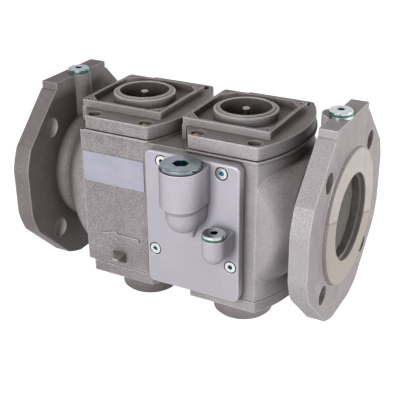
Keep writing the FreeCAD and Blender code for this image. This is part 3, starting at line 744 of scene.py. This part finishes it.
def makeSpring(name, cell, node):
    # coiled wire between two fixed heights, in place of the hidden CAD spring
    mesh = bmesh.new()
    bmesh.ops.create_circle(mesh, cap_ends=False, radius=spring["wire"], segments=spring["sides"])
    start = Matrix.Translation((cell + spring["radius"], 0, spring["low"]))
    start = start @ Matrix.Rotation(math.radians(90), 4, "X")
    bmesh.ops.transform(mesh, matrix=start, verts=mesh.verts)
    steps = spring["turns"] * spring["steps"]
    rise = (spring["high"] - spring["low"]) / steps
    bmesh.ops.spin(mesh, geom=mesh.verts[:] + mesh.edges[:], cent=(cell, 0, 0), axis=(0, 0, 1),
                   dvec=(0, 0, rise), angle=math.radians(360) * spring["turns"], steps=steps, use_merge=False)
    openEdges = [edge for edge in mesh.edges if edge.is_boundary]
    bmesh.ops.holes_fill(mesh, edges=openEdges, sides=spring["sides"])
    coil = newPiece(name, mesh, finishes["spring_steel"])
    coil.data.shade_smooth()
    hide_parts(node)
    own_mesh(coil)


varnish = {
    "radius": 0.0034,
    "height": 0.6,
    "wobble": 0.12,
    "inletAside": -0.0205,
    "outletAside": 0.0313,
    "forward": -0.001,
}


def makeVarnishDot(name, x, y):
    mesh = bmesh.new()
    bmesh.ops.create_icosphere(mesh, subdivisions=3, radius=varnish["radius"])
    for vert in mesh.verts:
        turn = math.atan2(vert.co.y, vert.co.x)
        spread = 1 + varnish["wobble"] * math.sin(3 * turn) + varnish["wobble"] * math.cos(5 * turn) / 2
        vert.co.x *= spread
        vert.co.y *= spread
        vert.co.z *= varnish["height"]
    bmesh.ops.translate(mesh, verts=mesh.verts, vec=(x, y, valve["screwTop"]))
    newPiece(name, mesh, varnishFinish())


makeFlowArrow()
makeStrainer()
makeSpring("spring_coil_1", valve["inletCell"], "closing_spring_1")
makeSpring("spring_coil_2", valve["outletCell"], "closing_spring_2")
dotFront = valve["screwFront"] + varnish["forward"]
makeVarnishDot("seal_varnish_1", valve["inletCell"] + varnish["inletAside"], dotFront)
makeVarnishDot("seal_varnish_2", valve["outletCell"] + varnish["outletAside"], dotFront)
print("added pieces ready")


studio = {
    "floorSize": 8.0,
    "worldLight": 0.14,
    "worldTint": (1.0, 0.80, 0.73),
    "floorColour": (0.5, 0.5, 0.5),
    "floorGlow": 0.955,
    "target": (-0.14, 0.0, 0.0),
}


def seenDirectly(paint):
    # 1 for camera, mirror and glass rays
    path = paint.node("ShaderNodeLightPath")
    camera, mirror, glass = [Value(paint, path.outputs[name])
                             for name in ("Is Camera Ray", "Is Glossy Ray", "Is Transmission Ray")]
    return paint.clamped(camera + mirror + glass)


def makeFloor():
    mesh = bmesh.new()
    bmesh.ops.create_grid(mesh, x_segments=2, y_segments=2, size=studio["floorSize"] / 2)
    bmesh.ops.translate(mesh, verts=mesh.verts, vec=(0, 0, cadBox[0][2]))
    built = bpy.data.meshes.new("floor")
    mesh.to_mesh(built)
    mesh.free()
    floor = bpy.data.objects.new("floor", built)
    bpy.context.scene.collection.objects.link(floor)
    paint = Paint("floorPaper")
    seen = seenDirectly(paint)
    diffuse = paint.node("ShaderNodeBsdfDiffuse", {}, {"Color": studio["floorColour"]})
    glow = paint.node("ShaderNodeEmission", {},
                      {"Color": (1.0, 1.0, 1.0), "Strength": seen * studio["floorGlow"]})
    both = paint.node("ShaderNodeAddShader", {},
                      {0: Value(paint, diffuse.outputs[0]), 1: Value(paint, glow.outputs[0])})
    output = paint.node("ShaderNodeOutputMaterial")
    paint.tree.links.new(both.outputs[0], output.inputs[0])
    floor.data.materials.append(paint.material)


def larger(tree, first, second):
    made = tree.nodes.new("ShaderNodeMath")
    made.operation = "MAXIMUM"
    tree.links.new(first, made.inputs[0])
    tree.links.new(second, made.inputs[1])
    return made.outputs[0]


def makeWorld():
    # white where it is seen directly, dim and warm as light on the valve
    world = bpy.data.worlds.new("studioWorld")
    bpy.context.scene.world = world
    world.use_nodes = True
    tree = world.node_tree
    tree.nodes.clear()
    rays = tree.nodes.new("ShaderNodeLightPath").outputs
    direct = larger(tree, rays["Is Camera Ray"], rays["Is Transmission Ray"])
    seen = larger(tree, direct, rays["Is Glossy Ray"])
    level = tree.nodes.new("ShaderNodeMapRange")
    tree.links.new(seen, level.inputs["Value"])
    level.inputs["To Min"].default_value = studio["worldLight"]
    level.inputs["To Max"].default_value = 1.0
    background = tree.nodes.new("ShaderNodeBackground")
    tint = tree.nodes.new("ShaderNodeMix")
    tint.data_type = "RGBA"
    tint.inputs[6].default_value = (*studio["worldTint"], 1.0)
    tint.inputs[7].default_value = (1.0, 1.0, 1.0, 1.0)
    tree.links.new(seen, tint.inputs[0])
    tree.links.new(tint.outputs[2], background.inputs["Color"])
    tree.links.new(level.outputs[0], background.inputs["Strength"])
    output = tree.nodes.new("ShaderNodeOutputWorld")
    tree.links.new(background.outputs[0], output.inputs[0])


lamps = {
    "frontKey": {"place": (-0.14, -0.85, 0.32), "size": 0.45, "power": 5.8},
    "outletSide": {"place": (-1.25, -0.70, 0.22), "size": 0.6, "power": 0.6},
    "backFill": {"place": (-0.20, 1.30, 0.30), "size": 0.7, "power": 3.0, "mirrored": False},
    "inletSide": {"place": (1.20, 0.32, 0.12), "size": 0.5, "power": 13.5},
}


def makeLamp(name, lamp):
    light = bpy.data.lights.new(name, "AREA")
    light.shape = "SQUARE"
    light.size = lamp["size"]
    light.energy = lamp["power"]
    holder = bpy.data.objects.new(name, light)
    holder.location = lamp["place"]
    aim = Vector(studio["target"]) - Vector(lamp["place"])
    holder.rotation_euler = aim.to_track_quat("-Z", "Y").to_euler()
    holder.visible_camera = False
    holder.visible_glossy = lamp.get("mirrored", True)
    bpy.context.scene.collection.objects.link(holder)


view = {
    "place": (0.185696, -0.617808, 0.324023),
    "azimuth": 28.175,
    "elevation": 25.903,
    "roll": -0.497,
    "lens": 75.29,
    "sensor": 36.0,
}


def makeCamera():
    azimuth, elevation, roll = [math.radians(view[key]) for key in ("azimuth", "elevation", "roll")]
    back = Vector((math.sin(azimuth) * math.cos(elevation), -math.cos(azimuth) * math.cos(elevation),
                   math.sin(elevation)))
    right = (-back).cross(Vector((0, 0, 1))).normalized()
    up = right.cross(-back)
    across = right * math.cos(roll) + up * math.sin(roll)
    upright = up * math.cos(roll) - right * math.sin(roll)
    lens = bpy.data.cameras.new("productCamera")
    lens.sensor_width = view["sensor"]
    lens.lens = view["lens"]
    lens.clip_start = 0.01
    camera = bpy.data.objects.new("productCamera", lens)
    turn = Matrix((across, upright, back)).transposed().to_4x4()
    camera.matrix_world = Matrix.Translation(Vector(view["place"])) @ turn
    bpy.context.scene.collection.objects.link(camera)
    bpy.context.scene.camera = camera


makeFloor()
makeWorld()
for lampName, lamp in lamps.items():
    makeLamp(lampName, lamp)
makeCamera()
bpy.context.scene.view_settings.view_transform = "Standard"
print("studio ready")
